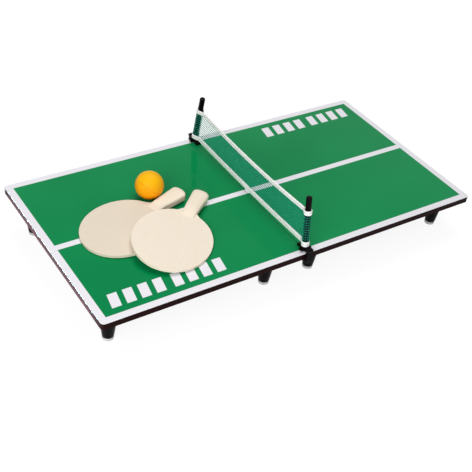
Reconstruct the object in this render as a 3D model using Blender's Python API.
"""Mini table tennis game: a small table in two halves, a clip-on net, two wooden bats and a ball.

Frame: origin on the floor under the middle of the table, +X along the table, +Y to the far side,
+Z up. Every length is in metres. Run with: blender --background --python part.py
"""

from math import acos, asin, atan, atan2, cos, hypot, pi, radians, sin, sqrt, tan

import bmesh
import bpy
from mathutils import Matrix, Vector

MM = 0.001

# Table board
TABLE_LENGTH = 600 * MM
TABLE_WIDTH = 300 * MM
PANEL_THICKNESS = 8.6 * MM
FILM_THICKNESS = 0.6 * MM
CORNER_RADIUS = 5 * MM
SEAM_GAP = 0.5 * MM

# Clearances between neighbouring pieces
REST_GAP = 0.3 * MM
HOLE_CLEARANCE = 0.3 * MM
CUT_OVERRUN = 1 * MM

# Legs, their foot pads and their screws
LEG_HEIGHT = 56 * MM
LEG_END_INSET = 27 * MM
LEG_SEAM_INSET = 37.7 * MM
LEG_SIDE_INSET = 36 * MM
LEG_TOP_RADIUS = 11.8 * MM
LEG_FOOT_RADIUS = 7.7 * MM
LEG_EDGE_RADIUS = 1 * MM
LEG_BORE_RADIUS = 4.2 * MM
LEG_WEB = 6 * MM
PAD_RADIUS = 7.3 * MM
PAD_HEIGHT = 5 * MM
PAD_EDGE_RADIUS = 1.8 * MM
PAD_STEM_HEIGHT = 8 * MM
SCREW_RADIUS = 1.75 * MM
SCREW_HEAD_RADIUS = 3.4 * MM
SCREW_HEAD_HEIGHT = 2.2 * MM
SCREW_BITE = 6 * MM

# Dowels across the seam
DOWEL_RADIUS = 2.5 * MM
DOWEL_LENGTH = 30 * MM
DOWEL_SPACING = 160 * MM
DOWEL_CHAMFER = 0.6 * MM

# Net clips; u runs outwards along the leaning arm and v up along the post
CLIP_LEAN = radians(8)
ARM_INSET = 20 * MM
ARM_LENGTH = 25.6 * MM
ARM_WIDTH = 8 * MM
ARM_THICKNESS = 4.5 * MM
ARM_END_RADIUS = 2 * MM
EDGE_CLEARANCE = 0.5 * MM
BACK_THICKNESS = 3 * MM
JAW_THICKNESS = 4 * MM
JAW_REACH = 13 * MM
WING_WIDTH = 17 * MM
WING_LENGTH = 7 * MM
WING_THICKNESS = 2.2 * MM
BOSS_RADIUS = 6.2 * MM
BOSS_RISE = 0.5 * MM
SOCKET_FLOOR = 1.2 * MM

# Net posts
POST_INSET = 7.5 * MM
POST_RADIUS = 4 * MM
POST_HEIGHT = 79 * MM
POST_TIP_RADIUS = 1.6 * MM

# Net: woven tapes with a loop round each post, mesh sleeves and mesh
TAPE_HEIGHT = 8 * MM
TAPE_THICKNESS = 1.4 * MM
LOOP_WALL = 1.2 * MM
TOP_TAPE_CENTRE = 56.2 * MM
TOP_SAG = 5.6 * MM
BOTTOM_SAG = 2.6 * MM
SLEEVE_WALL = 0.6 * MM
MESH_THICKNESS = 0.8 * MM
MESH_CORD = 1 * MM
MESH_COLUMNS = 30
MESH_ROWS = 6
TAPE_STEPS = 20

# Bats
BAT_LENGTH = 171 * MM
BLADE_LENGTH = 122 * MM
BLADE_WIDTH = 105 * MM
BLADE_THICKNESS = 4 * MM
BLADE_EDGE = 0.9 * MM
NECK_BLEND = 8 * MM
GRIP_LENGTH = 58 * MM
GRIP_NECK_WIDTH = 18 * MM
GRIP_END_WIDTH = 24.2 * MM
GRIP_NECK_THICKNESS = 4 * MM
GRIP_END_THICKNESS = 6 * MM
GRIP_RAMP = 20 * MM
GRIP_FRONT = 0.9 * MM
GRIP_END_RADIUS = 6.5 * MM

# Places of the bats on the left half, as they lie in use
LOWER_BAT_X = -197.3 * MM
LOWER_BAT_Y = -4.9 * MM
LOWER_BAT_HEADING = radians(16.6)
BLADE_OVERLAP = 36.5 * MM
UPPER_BAT_BEARING = radians(-50.2)
HANDLE_GAP = 3.7 * MM

# Ball
BALL_DIAMETER = 40 * MM
BALL_WALL = 0.5 * MM
BALL_SIDE_GAP = -0.4 * MM
BALL_ALONG_BAT = 77.4 * MM
BALL_SEAM_TILT = radians(35)

# Fineness of round shapes
LEG_SIDES = 18
SMALL_SIDES = 10
POST_SIDES = 16
BALL_SIDES = 20
BALL_RINGS = 6
ARC_STEPS = 5
BLADE_STEPS = 44
GRIP_ARCH_STEPS = 8
SHARP_ANGLE = radians(32)
MERGE_DISTANCE = 0.00001

# Shares of the leg's height and flare that give its gently bowed side
LEG_PROFILE_SHARES = ((0.0, 0.0), (0.3, 0.44), (0.65, 0.79), (1.0, 1.0))
# Where the grip's cross-sections stand, as shares of its length
GRIP_SECTION_SHARES = (0.0, 0.06, 0.14, 0.24, 0.35, 0.6, 0.888, 0.935, 0.975, 1.0)
# How square the grip's arch is: 2 is an ellipse
GRIP_SQUARENESS_SHARE = 2.6

# Heights that follow from the sizes above
UNDERSIDE = LEG_HEIGHT
PANEL_TOP = UNDERSIDE + PANEL_THICKNESS
TABLE_TOP = PANEL_TOP + REST_GAP + FILM_THICKNESS
HALF_LENGTH = TABLE_LENGTH / 2
HALF_WIDTH = TABLE_WIDTH / 2
BOARD_THICKNESS = TABLE_TOP - UNDERSIDE
BLADE_A = BLADE_LENGTH / 2
BLADE_B = BLADE_WIDTH / 2
HANDLE_REACH = BAT_LENGTH - BLADE_A


def clear_scene():
    for thing in list(bpy.data.objects):
        bpy.data.objects.remove(thing, do_unlink=True)


def material(name, colour, roughness, metallic=0.0):
    """A plain Principled material, made once under each name."""
    found = bpy.data.materials.get(name)
    if found:
        return found
    made = bpy.data.materials.new(name)
    made.use_nodes = True
    shader = made.node_tree.nodes["Principled BSDF"]
    shader.inputs["Base Color"].default_value = (*colour, 1.0)
    shader.inputs["Roughness"].default_value = roughness
    shader.inputs["Metallic"].default_value = metallic
    return made


def black_plastic():
    return material("black_plastic", (0.012, 0.012, 0.014), 0.38)


def dark_board():
    return material("dark_board", (0.026, 0.009, 0.011), 0.45)


def green_film():
    return material("green_film", (0.004, 0.233, 0.075), 0.12)


def pad_plastic():
    return material("pad_plastic", (0.55, 0.56, 0.58), 0.5)


def steel():
    return material("zinc_steel", (0.6, 0.6, 0.6), 0.3, 1.0)


def white_tape():
    return material("white_tape", (0.75, 0.75, 0.78), 0.8)


def green_mesh():
    return material("green_mesh", (0.008, 0.17, 0.1), 0.8)


def pale_wood():
    return material("pale_wood", (0.88, 0.77, 0.63), 0.6)


def dowel_wood():
    return material("dowel_wood", (0.62, 0.45, 0.27), 0.7)


def ball_plastic():
    return material("ball_plastic", (1.0, 0.45, 0.01), 0.35)


def add_object(name, mesh_data, finish, place=None):
    """Turn a bmesh into a named object, shaded smooth between sharp edges."""
    bmesh.ops.recalc_face_normals(mesh_data, faces=mesh_data.faces)
    mesh = bpy.data.meshes.new(name)
    mesh_data.to_mesh(mesh)
    mesh_data.free()
    mesh.shade_smooth()
    mesh.set_sharp_from_angle(angle=SHARP_ANGLE)
    made = bpy.data.objects.new(name, mesh)
    bpy.context.scene.collection.objects.link(made)
    if finish:
        mesh.materials.append(finish)
    if place is not None:
        made.matrix_world = place
    return made


def add_helper(name, mesh_data, place=None):
    """A cutter or a shape to be joined: shown as wire and left out of the model."""
    helper = add_object(name, mesh_data, None, place)
    helper.hide_render = True
    helper.display_type = "WIRE"
    return helper


def boolean(target, helper, operation):
    step = target.modifiers.new(helper.name, "BOOLEAN")
    step.operation = operation
    step.object = helper


def turned(profile, sides, closed=False):
    """Spin (radius, height) points round Z; the ends of an open profile lie on the axis."""
    shape = bmesh.new()
    points = [shape.verts.new((radius, 0, height)) for radius, height in profile]
    pairs = list(zip(points, points[1:]))
    if closed:
        pairs.append((points[-1], points[0]))
    edges = [shape.edges.new(pair) for pair in pairs]
    bmesh.ops.spin(shape, geom=points + edges, cent=(0, 0, 0), axis=(0, 0, 1), angle=2 * pi, steps=sides)
    bmesh.ops.remove_doubles(shape, verts=shape.verts, dist=MERGE_DISTANCE)
    return shape


def prism(outline, low, high):
    """Extrude a closed outline of (x, y) points from one height to the other."""
    shape = bmesh.new()
    face = shape.faces.new([shape.verts.new((x, y, low)) for x, y in outline])
    grown = bmesh.ops.extrude_face_region(shape, geom=[face])
    raised = [item for item in grown["geom"] if isinstance(item, bmesh.types.BMVert)]
    bmesh.ops.translate(shape, verts=raised, vec=(0, 0, high - low))
    return shape


def block(low, high):
    """A box between two corners."""
    return prism([(low[0], low[1]), (high[0], low[1]), (high[0], high[1]), (low[0], high[1])], low[2], high[2])


def arc(centre, radius, start, end, steps=ARC_STEPS):
    angles = [start + (end - start) * i / steps for i in range(steps + 1)]
    return [(centre[0] + radius * cos(t), centre[1] + radius * sin(t)) for t in angles]


def rod(radius, low, high, sides, chamfer=0.0):
    """A solid rod along Z, with chamfered ends if asked."""
    ends = [(0, low), (radius - chamfer, low), (radius, low + chamfer)]
    ends += [(radius, high - chamfer), (radius - chamfer, high), (0, high)]
    if not chamfer:
        ends = [(0, low), (radius, low), (radius, high), (0, high)]
    return turned(ends, sides)


def half_outline(side):
    """Plan of one half: square at the seam, rounded at its two outer corners."""
    seam = SEAM_GAP / 2
    far = HALF_LENGTH - CORNER_RADIUS
    wide = HALF_WIDTH - CORNER_RADIUS
    points = [(seam, -HALF_WIDTH)]
    points += arc((far, -wide), CORNER_RADIUS, -pi / 2, 0)
    points += arc((far, wide), CORNER_RADIUS, 0, pi / 2)
    points += [(seam, HALF_WIDTH)]
    return [(side * x, y) for x, y in points]


def leg_places(side):
    """The four legs of one half: seam pair and end pair, near first."""
    places = {}
    for row, x in (("seam", LEG_SEAM_INSET), ("end", HALF_LENGTH - LEG_END_INSET)):
        for edge, sign in (("near", -1), ("far", 1)):
            places[f"{row}_{edge}"] = (side * x, sign * (HALF_WIDTH - LEG_SIDE_INSET))
    return places


def build_half(word, side):
    """A board with its printed film, pilot holes for the leg screws and holes for the dowels."""
    panel = add_object(f"panel_{word}", prism(half_outline(side), UNDERSIDE, PANEL_TOP), dark_board())
    pilot = SCREW_RADIUS + HOLE_CLEARANCE
    depth = SCREW_BITE + HOLE_CLEARANCE
    for key, (x, y) in leg_places(side).items():
        place = Matrix.Translation((x, y, UNDERSIDE))
        cutter = add_helper(f"pilot_{word}_{key}", rod(pilot, -CUT_OVERRUN, depth, SMALL_SIDES), place)
        boolean(panel, cutter, "DIFFERENCE")
    for key, sign in (("near", -1), ("far", 1)):
        hole = rod(DOWEL_RADIUS + HOLE_CLEARANCE, -CUT_OVERRUN, DOWEL_LENGTH / 2 + HOLE_CLEARANCE, SMALL_SIDES)
        place = dowel_place(sign) @ Matrix.Rotation(side * pi / 2, 4, "Y")
        boolean(panel, add_helper(f"dowel_hole_{word}_{key}", hole, place), "DIFFERENCE")
    film = prism(half_outline(side), PANEL_TOP + REST_GAP, TABLE_TOP)
    add_object(f"playing_surface_{word}", film, green_film())


def dowel_place(sign):
    return Matrix.Translation((0, sign * DOWEL_SPACING / 2, UNDERSIDE + PANEL_THICKNESS / 2))


def build_dowels():
    """Two wooden dowels across the seam, which line the halves up."""
    for word, sign in (("near", -1), ("far", 1)):
        pin = rod(DOWEL_RADIUS, -DOWEL_LENGTH / 2, DOWEL_LENGTH / 2, SMALL_SIDES, DOWEL_CHAMFER)
        place = dowel_place(sign) @ Matrix.Rotation(pi / 2, 4, "Y")
        add_object(f"seam_dowel_{word}", pin, dowel_wood(), place)


def leg_shape():
    """A bowed cone with a stepped bore: wide from below, narrow through the web under the board."""
    bottom = PAD_HEIGHT + REST_GAP
    top = UNDERSIDE - REST_GAP
    flare = LEG_TOP_RADIUS - LEG_FOOT_RADIUS
    side = [(LEG_FOOT_RADIUS + flare * out, bottom + (top - bottom) * up) for up, out in LEG_PROFILE_SHARES]
    foot = (LEG_FOOT_RADIUS - LEG_EDGE_RADIUS, bottom)
    side[0] = (LEG_FOOT_RADIUS, bottom + LEG_EDGE_RADIUS)
    screw_hole = SCREW_RADIUS + HOLE_CLEARANCE
    bore = [(screw_hole, top), (screw_hole, top - LEG_WEB), (LEG_BORE_RADIUS, top - LEG_WEB)]
    return turned([foot, *side, *bore, (LEG_BORE_RADIUS, bottom)], LEG_SIDES, closed=True)


def pad_shape():
    """A foot pad whose stem plugs the leg's bore."""
    stem = LEG_BORE_RADIUS - HOLE_CLEARANCE
    high = PAD_HEIGHT + PAD_STEM_HEIGHT
    profile = [(0, 0), (PAD_RADIUS - PAD_EDGE_RADIUS, 0), (PAD_RADIUS, PAD_EDGE_RADIUS), (PAD_RADIUS, PAD_HEIGHT)]
    profile += [(stem, PAD_HEIGHT), (stem, high), (0, high)]
    return turned(profile, LEG_SIDES)


def screw_shape():
    """A wood screw, head down, seated under the leg's web and biting into the board."""
    seat = UNDERSIDE - REST_GAP - LEG_WEB - REST_GAP
    head = seat - SCREW_HEAD_HEIGHT
    tip = UNDERSIDE + SCREW_BITE
    profile = [(0, head), (SCREW_HEAD_RADIUS, head), (SCREW_HEAD_RADIUS, seat), (SCREW_RADIUS, seat)]
    profile += [(SCREW_RADIUS, tip - SCREW_RADIUS), (0, tip)]
    return turned(profile, SMALL_SIDES)


def build_legs(word, side):
    for key, (x, y) in leg_places(side).items():
        place = Matrix.Translation((x, y, 0))
        add_object(f"leg_{word}_{key}", leg_shape(), black_plastic(), place)
        add_object(f"foot_pad_{word}_{key}", pad_shape(), pad_plastic(), place)
        add_object(f"leg_screw_{word}_{key}", screw_shape(), steel(), place)


def clip_frame(sign):
    """Local x along the table, y outwards along the leaning arm (u), z up along the post (v)."""
    turn = Matrix.Rotation(0 if sign > 0 else pi, 4, "Z")
    inner = Matrix.Translation((0, HALF_WIDTH - ARM_INSET, TABLE_TOP + REST_GAP))
    return turn @ inner @ Matrix.Rotation(CLIP_LEAN, 4, "X")


def post_u():
    """How far the post stands from the arm's inner end, measured along the arm."""
    return (ARM_INSET - POST_INSET) / cos(CLIP_LEAN)


def jaw_sizes():
    """Inner face of the back and top of the lower jaw, in the clip's own axes."""
    back = ARM_INSET * cos(CLIP_LEAN) + EDGE_CLEARANCE
    below_edge = -(BOARD_THICKNESS + REST_GAP)
    jaw = -ARM_INSET * sin(CLIP_LEAN) + below_edge * cos(CLIP_LEAN) - REST_GAP
    return back, jaw


def clip_profile():
    """Side view of arm, back and lower jaw as (u, v) points, with rounded free ends."""
    back, jaw = jaw_sizes()
    outer = back + BACK_THICKNESS
    tip = outer - BACK_THICKNESS - JAW_REACH
    bottom = jaw - JAW_THICKNESS
    nose = JAW_THICKNESS / 2
    round_end = ARM_END_RADIUS
    points = [(0, 0), (back, 0), (back, jaw)]
    points += arc((tip + nose, jaw - nose), nose, pi / 2, 3 * pi / 2)
    points += arc((outer - round_end, bottom + round_end), round_end, -pi / 2, 0)
    points += [(outer, 0)]
    points += arc((ARM_LENGTH - round_end, round_end), round_end, -pi / 2, 0)
    points += arc((ARM_LENGTH - round_end, ARM_THICKNESS - round_end), round_end, 0, pi / 2)
    points += arc((round_end, ARM_THICKNESS - round_end), round_end, pi / 2, pi)
    return points


def build_clip(word, sign):
    """One moulded clip: C-shaped body, wings on the table top and the socket for the post."""
    place = clip_frame(sign)
    upright = Matrix.Rotation(pi / 2, 4, "Z") @ Matrix.Rotation(pi / 2, 4, "X")
    body = prism(clip_profile(), -ARM_WIDTH / 2, ARM_WIDTH / 2)
    body.transform(upright)
    clip = add_object(f"clip_{word}", body, black_plastic(), place)
    u = post_u()
    low = (-WING_WIDTH / 2, u - WING_LENGTH / 2, 0)
    high = (WING_WIDTH / 2, u + WING_LENGTH / 2, WING_THICKNESS)
    boolean(clip, add_helper(f"clip_wings_{word}", block(low, high), place), "UNION")
    stand = place @ Matrix.Translation((0, u, 0))
    boss = rod(BOSS_RADIUS, 0, ARM_THICKNESS + BOSS_RISE, POST_SIDES)
    boolean(clip, add_helper(f"clip_boss_{word}", boss, stand), "UNION")
    top = ARM_THICKNESS + BOSS_RISE + CUT_OVERRUN
    socket = rod(POST_RADIUS + HOLE_CLEARANCE, SOCKET_FLOOR, top, POST_SIDES)
    boolean(clip, add_helper(f"clip_socket_{word}", socket, stand), "DIFFERENCE")


def build_post(word, sign):
    """A rod with a rounded tip that plugs into the clip's socket."""
    foot = SOCKET_FLOOR + REST_GAP
    shoulder = POST_RADIUS - POST_TIP_RADIUS
    profile = [(0, foot), (POST_RADIUS, foot)]
    profile += arc((shoulder, POST_HEIGHT - POST_TIP_RADIUS), POST_TIP_RADIUS, 0, pi / 2, 3)
    profile += [(0, POST_HEIGHT)]
    place = clip_frame(sign) @ Matrix.Translation((0, post_u(), 0))
    add_object(f"post_{word}", turned(profile, POST_SIDES), black_plastic(), place)


def loop_levels():
    """Heights along the post of the bottom loop, the sleeve and the top loop."""
    bottom_low = ARM_THICKNESS + BOSS_RISE + REST_GAP
    bottom_high = bottom_low + TAPE_HEIGHT
    top_low = TOP_TAPE_CENTRE - TAPE_HEIGHT / 2
    return bottom_low, bottom_high, top_low, top_low + TAPE_HEIGHT


def tube(inner, wall, low, high, sides=POST_SIDES):
    return turned([(inner, low), (inner + wall, low), (inner + wall, high), (inner, high)], sides, closed=True)


def post_point(level):
    """World distance from the middle of the table, and height, of the post's axis at a level."""
    place = clip_frame(1) @ Matrix.Translation((0, post_u(), level))
    return place.translation.y, place.translation.z


def hang(end_height, sag, share):
    """Height of a tape that hangs between the posts; share runs from -1 to 1."""
    return end_height - sag * (1 - share * share)


def tape_shape(level, sag, thickness):
    """The stretch of a tape between its loops, hanging in a shallow curve."""
    reach, height = post_point(level)
    grip = POST_RADIUS + HOLE_CLEARANCE + LOOP_WALL / 2
    lean_shift = TAPE_HEIGHT / 2 * tan(CLIP_LEAN)
    shape = bmesh.new()
    rings = []
    for i in range(TAPE_STEPS + 1):
        share = 2 * i / TAPE_STEPS - 1
        middle = hang(height, sag, share)
        corners = []
        for x, z in ((-1, -1), (1, -1), (1, 1), (-1, 1)):
            y = share * (reach - grip - z * lean_shift)
            corners.append(shape.verts.new((x * thickness / 2, y, middle + z * TAPE_HEIGHT / 2)))
        rings.append(corners)
    for first, second in zip(rings, rings[1:]):
        for i in range(4):
            shape.faces.new((first[i - 1], first[i], second[i], second[i - 1]))
    shape.faces.new(rings[0])
    shape.faces.new(rings[-1])
    return shape


def build_tape(name, low, high, sag):
    """A white tape whose two ends are sewn into loops round the posts."""
    tape = add_object(name, tape_shape((low + high) / 2, sag, TAPE_THICKNESS), white_tape())
    for word, sign in (("near", -1), ("far", 1)):
        place = clip_frame(sign) @ Matrix.Translation((0, post_u(), 0))
        loop = tube(POST_RADIUS + HOLE_CLEARANCE, LOOP_WALL, low, high)
        boolean(tape, add_helper(f"{name}_loop_{word}", loop, place), "UNION")


def mesh_line(level_share, share):
    """A point of the net's plane: level_share climbs from the bottom tape to the top tape."""
    bottom_low, bottom_high, top_low, top_high = loop_levels()
    edges = []
    for low, high, sag, direction in ((bottom_low, bottom_high, BOTTOM_SAG, 1), (top_low, top_high, TOP_SAG, -1)):
        reach, height = post_point((low + high) / 2)
        edge = direction * (TAPE_HEIGHT / 2 + REST_GAP)
        side = POST_RADIUS + HOLE_CLEARANCE + LOOP_WALL + REST_GAP
        edges.append((reach - side - edge * tan(CLIP_LEAN), hang(height, sag, share) + edge))
    (low_reach, low_height), (high_reach, high_height) = edges
    reach = low_reach + (high_reach - low_reach) * level_share
    return share * reach, low_height + (high_height - low_height) * level_share


def cord_shares(count, span, offset=0.0):
    """Where cords of the mesh begin and end, as shares of a span: the gaps lie between."""
    cord = MESH_CORD / span
    pitch = (1 - cord) / count
    places = []
    for i in range(count + 1):
        places += [i * pitch + offset, i * pitch + cord + offset]
    return places


def build_mesh():
    """The net as a thin sheet of crossing cords with open gaps."""
    reach, _ = mesh_line(0.5, 1)
    tall = mesh_line(1, 0)[1] - mesh_line(0, 0)[1]
    columns = [2 * place - 1 for place in cord_shares(MESH_COLUMNS, 2 * reach)]
    rows = cord_shares(MESH_ROWS, tall)
    shape = bmesh.new()
    grid = []
    for share in columns:
        points = [mesh_line(row, share) for row in rows]
        grid.append([shape.verts.new((-MESH_THICKNESS / 2, y, z)) for y, z in points])
    for i in range(len(columns) - 1):
        for j in range(len(rows) - 1):
            if i % 2 == 1 and j % 2 == 1:
                continue
            shape.faces.new((grid[i][j], grid[i + 1][j], grid[i + 1][j + 1], grid[i][j + 1]))
    grown = bmesh.ops.extrude_face_region(shape, geom=list(shape.faces))
    moved = [item for item in grown["geom"] if isinstance(item, bmesh.types.BMVert)]
    bmesh.ops.translate(shape, verts=moved, vec=(MESH_THICKNESS, 0, 0))
    add_object("net_mesh", shape, green_mesh())


def build_net():
    bottom_low, bottom_high, top_low, top_high = loop_levels()
    build_tape("net_tape_top", top_low, top_high, TOP_SAG)
    build_tape("net_tape_bottom", bottom_low, bottom_high, BOTTOM_SAG)
    for word, sign in (("near", -1), ("far", 1)):
        sleeve = tube(POST_RADIUS + HOLE_CLEARANCE, SLEEVE_WALL, bottom_high + REST_GAP, top_low - REST_GAP)
        place = clip_frame(sign) @ Matrix.Translation((0, post_u(), 0))
        add_object(f"net_sleeve_{word}", sleeve, green_mesh(), place)
    build_mesh()


def grip_half_width(x):
    """Half the grip's width at a place along the bat: it flares towards its end."""
    share = (x - (HANDLE_REACH - GRIP_LENGTH)) / GRIP_LENGTH
    return (GRIP_NECK_WIDTH + (GRIP_END_WIDTH - GRIP_NECK_WIDTH) * max(share, 0.0)) / 2


def blade_outline():
    """Oval blade that blends through its neck into the handle's core."""
    neck = GRIP_NECK_WIDTH / 2
    corner_x = BLADE_A * sqrt(1 - (neck / BLADE_B) ** 2)
    start = asin(neck / BLADE_B) + NECK_BLEND / BLADE_B
    join_x = corner_x + NECK_BLEND
    oval = []
    for i in range(BLADE_STEPS + 1):
        t = start + (2 * pi - 2 * start) * i / BLADE_STEPS
        oval.append((BLADE_A * cos(t), BLADE_B * sin(t)))
    first = oval[0]
    blend = []
    for i in range(1, ARC_STEPS + 1):
        t = i / ARC_STEPS
        x = (1 - t) ** 2 * first[0] + 2 * t * (1 - t) * corner_x + t * t * join_x
        y = (1 - t) ** 2 * first[1] + 2 * t * (1 - t) * neck + t * t * grip_half_width(join_x)
        blend.append((x, y))
    end = HANDLE_REACH - GRIP_END_RADIUS
    wide = grip_half_width(end)
    corner = arc((end, wide - GRIP_END_RADIUS), GRIP_END_RADIUS, pi / 2, 0, 3)
    upper = blend + corner
    lower = [(x, -y) for x, y in upper]
    return oval + lower + upper[::-1]


def blade_shape():
    """The flat wooden core, its top and bottom edges eased."""
    shape = prism(blade_outline(), -BLADE_THICKNESS / 2, BLADE_THICKNESS / 2)
    level = BLADE_THICKNESS / 2 - MERGE_DISTANCE
    rims = [edge for edge in shape.edges if abs(edge.verts[0].co.z - edge.verts[1].co.z) < MERGE_DISTANCE]
    rims = [edge for edge in rims if abs(edge.verts[0].co.z) > level]
    bmesh.ops.bevel(shape, geom=rims, offset=BLADE_EDGE, segments=1, profile=0.5, affect="EDGES")
    return shape


def grip_sections():
    """Place along the bat, half width and height of each of the grip's cross-sections."""
    start = HANDLE_REACH - GRIP_LENGTH
    sections = []
    for share in GRIP_SECTION_SHARES:
        along = share * GRIP_LENGTH
        left = GRIP_LENGTH - along
        ramp = min(along / GRIP_RAMP, 1.0)
        full = GRIP_NECK_THICKNESS + (GRIP_END_THICKNESS - GRIP_NECK_THICKNESS) * share
        height = GRIP_FRONT + (full - GRIP_FRONT) * sin(ramp * pi / 2)
        drawn_in = 0.0
        if left < GRIP_END_RADIUS:
            drawn_in = GRIP_END_RADIUS - sqrt(GRIP_END_RADIUS ** 2 - (GRIP_END_RADIUS - left) ** 2)
        height -= drawn_in * full / (2 * GRIP_END_RADIUS)
        sections.append((start + along, grip_half_width(start + along) - drawn_in, height))
    return sections


def grip_shape(side):
    """One grip scale: an arched strip with a low front ramp and a rounded end."""
    base = side * (BLADE_THICKNESS / 2 + REST_GAP)
    power = GRIP_SQUARENESS_SHARE
    shape = bmesh.new()
    rings = []
    for x, wide, height in grip_sections():
        ring = []
        for i in range(GRIP_ARCH_STEPS + 1):
            t = pi * i / GRIP_ARCH_STEPS
            reach = (abs(cos(t)) ** power + sin(t) ** power) ** (-1 / power)
            ring.append(shape.verts.new((x, wide * reach * cos(t), base + side * height * reach * sin(t))))
        rings.append(ring)
    for first, second in zip(rings, rings[1:]):
        for i in range(len(first)):
            shape.faces.new((first[i - 1], first[i], second[i], second[i - 1]))
    shape.faces.new(rings[0])
    shape.faces.new(rings[-1])
    return shape


def grip_support(wide, height, lean):
    """How far a leaning grip reaches below the blade: the support of its rounded arch."""
    power = GRIP_SQUARENESS_SHARE / (GRIP_SQUARENESS_SHARE - 1)
    return REST_GAP + ((wide * abs(lean)) ** power + height ** power) ** (1 / power)


def lower_bat_slope():
    """A bat on the table lies on its blade's far edge and on the front of its grip."""
    return max(grip_support(wide, high, 0) / (x + BLADE_A) for x, wide, high in grip_sections())


def lower_bat_place():
    slope = lower_bat_slope()
    height = TABLE_TOP + REST_GAP + BLADE_THICKNESS / 2 + BLADE_A * slope
    turn = Matrix.Rotation(LOWER_BAT_HEADING, 4, "Z") @ Matrix.Rotation(-atan(slope), 4, "Y")
    return Matrix.Translation((LOWER_BAT_X, LOWER_BAT_Y, height)) @ turn


def upper_bat_centre():
    """The upper bat's blade covers part of the lower one."""
    away = BLADE_WIDTH - BLADE_OVERLAP
    return (LOWER_BAT_X + away * cos(UPPER_BAT_BEARING), LOWER_BAT_Y + away * sin(UPPER_BAT_BEARING))


def upper_bat_heading():
    """The upper bat's grip passes the end corner of the lower bat's grip with the named gap."""
    along, across = along_across(upper_bat_centre(), (LOWER_BAT_X, LOWER_BAT_Y), LOWER_BAT_HEADING)
    ahead = HANDLE_REACH - along
    beside = -across - GRIP_END_WIDTH / 2
    turn = acos((GRIP_END_WIDTH / 2 + HANDLE_GAP) / hypot(ahead, beside)) - atan2(ahead, beside)
    return LOWER_BAT_HEADING + turn


def along_across(point, centre, heading):
    dx, dy = point[0] - centre[0], point[1] - centre[1]
    return dx * cos(heading) + dy * sin(heading), dy * cos(heading) - dx * sin(heading)


def upper_bat_place():
    """Rest the upper bat on three things: the table at its blade's edge and under its grip,
    and the rim of the lower blade. Its slopes along and across are found by repeated steps."""
    lower = (LOWER_BAT_X, LOWER_BAT_Y)
    centre = upper_bat_centre()
    slope = lower_bat_slope()
    cl, sl = cos(LOWER_BAT_HEADING), sin(LOWER_BAT_HEADING)
    heading = upper_bat_heading()
    cu, su = cos(heading), sin(heading)
    sections = grip_sections()
    along, across = 0.0, slope
    for _ in range(80):
        gx, gy = along * cu - across * su - slope * cl, along * su + across * cu - slope * sl
        ga, gb = gx * cl + gy * sl, gy * cl - gx * sl
        size = hypot(BLADE_A * ga, BLADE_B * gb)
        ps, pt = -BLADE_A ** 2 * ga / size, -BLADE_B ** 2 * gb / size
        rim = (lower[0] + ps * cl - pt * sl, lower[1] + ps * sl + pt * cl)
        rim_height = BLADE_THICKNESS + 2 * REST_GAP + slope * (ps + BLADE_A)
        us, ut = along_across(rim, centre, heading)
        height = REST_GAP + hypot(BLADE_A * along, BLADE_B * across)
        lifts = [REST_GAP + grip_support(wide, high, across) - height for _, wide, high in sections]
        along += (max(lift / x for lift, (x, _, _) in zip(lifts, sections)) - along) / 4
        across += ((rim_height - height - along * us) / ut - across) / 4
    side = Vector((cu, su, along)).normalized()
    left = Vector((-su, cu, across))
    up = side.cross(left).normalized()
    left = up.cross(side)
    rise = TABLE_TOP + height + BLADE_THICKNESS / 2 * hypot(1, along, across)
    place = Matrix((side, left, up)).transposed().to_4x4()
    place.translation = (centre[0], centre[1], rise)
    return place


def build_bat(word, place):
    add_object(f"bat_{word}_blade", blade_shape(), pale_wood(), place)
    add_object(f"bat_{word}_grip_top", grip_shape(1), pale_wood(), place)
    add_object(f"bat_{word}_grip_bottom", grip_shape(-1), pale_wood(), place)


def ball_place():
    """Beside the lower bat's grip, as photographed, touching nothing but the table: its widest
    part is higher than the grip and may pass a little over it."""
    radius = BALL_DIAMETER / 2
    across = grip_half_width(BALL_ALONG_BAT) + radius + BALL_SIDE_GAP
    c, s = cos(LOWER_BAT_HEADING), sin(LOWER_BAT_HEADING)
    x = LOWER_BAT_X + BALL_ALONG_BAT * c - across * s
    y = LOWER_BAT_Y + BALL_ALONG_BAT * s + across * c
    return Matrix.Translation((x, y, TABLE_TOP + REST_GAP + radius))


def build_ball():
    """Two thin half shells that meet at the ball's seam."""
    outer = BALL_DIAMETER / 2
    inner = outer - BALL_WALL
    lift = REST_GAP / 2
    rise = asin(lift / inner)
    quarter = [rise + (pi / 2 - rise) * i / BALL_RINGS for i in range(BALL_RINGS + 1)]
    shell = [(outer * cos(t), outer * sin(t)) for t in quarter[:-1]] + [(0, outer)]
    shell[0] = (sqrt(outer ** 2 - lift ** 2), lift)
    hollow = [(0, inner)] + [(inner * cos(t), inner * sin(t)) for t in reversed(quarter[:-1])]
    tilt = Matrix.Rotation(BALL_SEAM_TILT, 4, "Y")
    for name, turn in (("ball_half_upper", 0), ("ball_half_lower", pi)):
        half = turned(shell + hollow, BALL_SIDES)
        rim = [half_edge for half_edge in half.edges if half_edge.is_boundary]
        bmesh.ops.bridge_loops(half, edges=rim)
        add_object(name, half, ball_plastic(), ball_place() @ tilt @ Matrix.Rotation(turn, 4, "Y"))


def main():
    clear_scene()
    for word, side in (("left", -1), ("right", 1)):
        build_half(word, side)
        build_legs(word, side)
    build_dowels()
    for word, sign in (("near", -1), ("far", 1)):
        build_clip(word, sign)
        build_post(word, sign)
    build_net()
    build_bat("lower", lower_bat_place())
    build_bat("upper", upper_bat_place())
    build_ball()


main()
